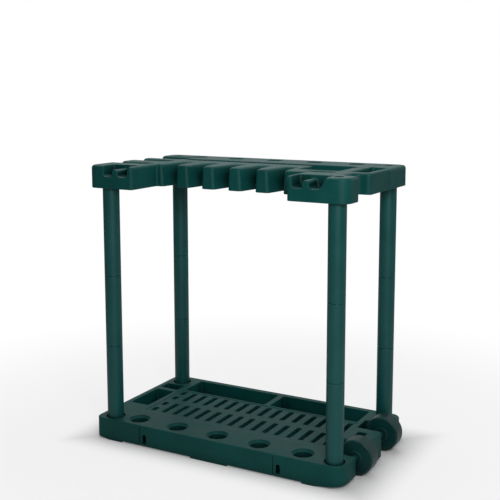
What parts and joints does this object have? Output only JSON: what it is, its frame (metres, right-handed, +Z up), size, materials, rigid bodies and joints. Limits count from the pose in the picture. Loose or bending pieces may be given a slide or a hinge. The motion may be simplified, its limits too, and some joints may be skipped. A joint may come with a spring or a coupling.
{
  "type": "garden tool rack",
  "caption": "Freestanding garden tool rack: a slatted moulded base with cups, troughs and wheels at one end, sectioned tube posts at the corners and a slotted moulded top rack.",
  "frame": {"origin": "middle of the footprint of the whole rack, on the floor", "axes": "+X along the length towards the wheels, +Y from the front to the back, +Z up"},
  "size_m": [0.791, 0.42, 0.7666],
  "materials": {
    "base_plastic": "dark green moulded plastic, satin with a fine grain",
    "rack_plastic": "dark green moulded plastic, satin with a fine grain",
    "tube_plastic": "dark green extruded tube, soft sheen",
    "wheel_plastic": "dark green moulded wheel, satin",
    "axle_steel": "plain drawn rod",
    "cap_steel": "pressed push cap"
  },
  "bodies": {
    "rack_frame": {"base_tray": "base_plastic", "top_rack": "rack_plastic", "post_front_left_lower": "tube_plastic", "post_front_left_middle": "tube_plastic", "post_front_left_upper": "tube_plastic", "post_front_right_lower": "tube_plastic", "post_front_right_middle": "tube_plastic", "post_front_right_upper": "tube_plastic", "post_back_right_lower": "tube_plastic", "post_back_right_middle": "tube_plastic", "post_back_right_upper": "tube_plastic", "post_back_left_lower": "tube_plastic", "post_back_left_middle": "tube_plastic", "post_back_left_upper": "tube_plastic", "wheel_axle": "axle_steel", "axle_cap_front": "cap_steel", "axle_cap_back": "cap_steel"},
    "front_wheel": {"wheel_front": "wheel_plastic"},
    "back_wheel": {"wheel_back": "wheel_plastic"}
  },
  "joints": [
    {"name": "front_wheel_turn", "type": "hinge", "parent": "rack_frame", "child": "front_wheel", "pos_m": [0.3495, -0.085, 0.048], "axis": [0, 1, 0], "continuous": true},
    {"name": "back_wheel_turn", "type": "hinge", "parent": "rack_frame", "child": "back_wheel", "pos_m": [0.3495, 0.096, 0.048], "axis": [0, 1, 0], "continuous": true}
  ]
}
